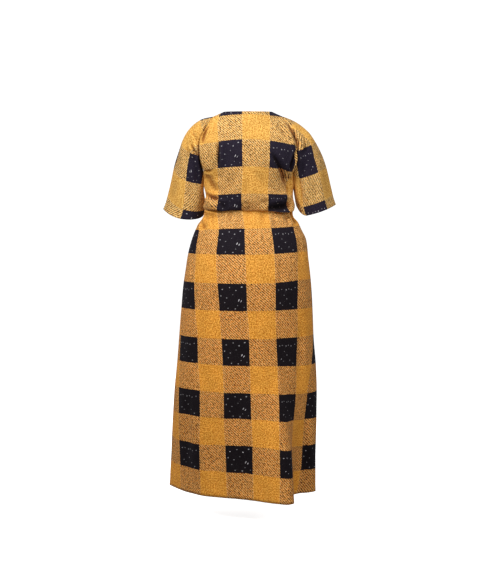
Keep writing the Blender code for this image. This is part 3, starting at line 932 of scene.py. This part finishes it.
    # plain weave: warp and weft threads half a millimetre apart
    thread = 2 * np.pi * CHECK / 0.0006
    warp = m.math("SINE", m.math("MULTIPLY", u0, thread))
    weft = m.math("SINE", m.math("MULTIPLY", v0, thread))
    weave = m.math("ADD", m.math("MULTIPLY", m.math("ABSOLUTE", warp), 0.5), m.math("MULTIPLY", m.math("ABSOLUTE", weft), 0.5))
    slub = m.noise(m.join(m.math("MULTIPLY", u0, 90.0), m.math("MULTIPLY", v0, 9.0)), 1.0, 2.0)
    height = m.math("ADD", m.math("MULTIPLY", weave, 0.5), m.math("MULTIPLY", slub, 0.5))
    bump = m.tree.nodes.new("ShaderNodeBump")
    bump.inputs["Strength"].default_value = 0.25
    bump.inputs["Distance"].default_value = 0.0004
    m.feed(bump.inputs["Height"], height)
    m.feed(m.shader.inputs["Normal"], bump.outputs[0])
    rough = m.ramp(slub, 0.3, 0.7, 0.74, 0.86)
    m.feed(m.shader.inputs["Roughness"], rough)
    m.shader.inputs["Specular IOR Level"].default_value = 0.10
    m.shader.inputs["Sheen Weight"].default_value = 0.06
    m.shader.inputs["Sheen Roughness"].default_value = 0.45
    m.shader.inputs["Sheen Tint"].default_value = (0.80, 0.80, 1.0, 1)
    return m.material


def studio(box):
    """A round pale floor that curves up into a backdrop all round, soft lights and the camera."""
    floor = -1.51
    profile = [(0.6, floor), (3.0, floor), (7.0, floor)]
    profile += [(7.0 + 1.5 * np.sin(a), floor + 1.5 - 1.5 * np.cos(a)) for a in np.linspace(0.1, np.pi / 2, 14)]
    profile += [(8.5, 2.0), (8.5, 6.0)]
    sides = 96
    points, faces = [(0.0, 0.0, floor)], []
    for reach, z in profile:
        for k in range(sides):
            turn = 2 * np.pi * k / sides
            points.append((reach * np.cos(turn), reach * np.sin(turn), z))
    for k in range(sides):
        after = (k + 1) % sides
        faces.append((0, 1 + k, 1 + after))
        for level in range(len(profile) - 1):
            low, top = 1 + level * sides, 1 + (level + 1) * sides
            faces.append((low + k, top + k, top + after, low + after))
    mesh = bpy.data.meshes.new("floor")
    mesh.from_pydata(points, [], faces)
    mesh.shade_smooth()
    stage = bpy.data.objects.new("floor", mesh)
    bpy.context.scene.collection.objects.link(stage)
    m = Maker("floor")
    m.shader.inputs["Base Color"].default_value = (0.93, 0.93, 0.93, 1)
    m.shader.inputs["Roughness"].default_value = 0.9
    m.shader.inputs["Specular IOR Level"].default_value = 0.1
    m.shader.inputs["Emission Color"].default_value = (1, 1, 1, 1)
    m.shader.inputs["Emission Strength"].default_value = 0.86
    mesh.materials.append(m.material)
    stage.visible_diffuse = False
    stage.visible_glossy = False

    world = bpy.data.worlds.new("studio")
    bpy.context.scene.world = world
    world.use_nodes = True
    sky = world.node_tree.nodes["Background"]
    sky.inputs["Color"].default_value = (1, 1, 1, 1)
    sky.inputs["Strength"].default_value = 0.20

    def lamp(name, place, at, size, power, colour=(1, 1, 1)):
        light = bpy.data.lights.new(name, "AREA")
        light.shape, light.size, light.energy, light.color = "SQUARE", size, power, colour
        ob = bpy.data.objects.new(name, light)
        bpy.context.scene.collection.objects.link(ob)
        ob.location = place
        way = np.array(at, float) - np.array(place, float)
        from mathutils import Vector

        ob.rotation_euler = Vector(way).to_track_quat("-Z", "Y").to_euler()
        return ob

    lamp("key", (2.1, 2.7, 1.5), (0, 0, -0.7), 0.7, 94)
    lamp("fill", (-2.4, 2.2, 0.5), (0, 0, -0.8), 1.2, 35)
    lamp("front", (0.5, -3.4, 0.7), (0, 0, -0.6), 1.6, 60)
    lamp("top", (0.35, 1.5, 1.9), (0, 0.05, -0.3), 1.3, 36, (0.95, 0.97, 1.0))

    data = bpy.data.cameras.new("camera")
    data.lens, data.sensor_width = 72.6, 36
    camera = bpy.data.objects.new("camera", data)
    bpy.context.scene.collection.objects.link(camera)
    camera.location = (0.011, 4.2, -0.36)
    camera.rotation_euler = (np.radians(90 - 3.6), 0, np.radians(180))
    bpy.context.scene.camera = camera
    view = bpy.context.scene.view_settings
    view.view_transform = "Standard"
    view.look = "None"
    bpy.context.scene.cycles.denoising_prefilter = "NONE"


def area_of(grid, closed=False):
    if closed:
        grid = np.concatenate([grid, grid[:, :1]], 1)
    a = np.linalg.norm(np.cross(grid[1:, :-1] - grid[:-1, :-1], grid[:-1, 1:] - grid[:-1, :-1]), axis=2)
    b = np.linalg.norm(np.cross(grid[1:, 1:] - grid[:-1, 1:], grid[1:, 1:] - grid[1:, :-1]), axis=2)
    return float((a + b).sum() / 2)


def main():
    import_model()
    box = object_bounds()
    bpy.context.scene.render.image_settings.color_mode = "RGB"
    low = np.concatenate([np.linspace(-1.410, -0.46, 82), np.linspace(-0.4565, -0.30, 58), np.linspace(-0.297, -0.245, 18)])
    tops = np.linspace(0, 1, 74)[1:]
    material = print_material("robe_cotton")
    back = panel(1, 86, 90, low, tops, BACK_CREASES, 11)
    front = panel(-1, 62, 62, low, tops, FRONT_CREASES, 23)
    left = sleeve(1, 80, LEFT_CREASES, 37)
    right = sleeve(-1, 80, RIGHT_CREASES, 41)
    made = [
        ("robe_back", back, False, "back", True),
        ("robe_front", front, False, "front", False),
        ("robe_sleeve_left", left, True, "sleeve_left", False),
        ("robe_sleeve_right", right, True, "sleeve_right", True),
    ]
    for name, (grid, u, v, double, painted_crease_shade), closed, node, outward in made:
        ob = piece(name, grid, u, v, double, painted_crease_shade, outward, closed)
        ob.data.materials.append(material)
        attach(ob, "root")
        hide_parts(node)
        print(name, "cloth area", round(area_of(grid, closed), 4), "u", u.min().round(2), u.max().round(2), "v", v.min().round(2), v.max().round(2))
    studio(box)


def plain(box):
    return [[float(x) for x in corner] for corner in box]


main()
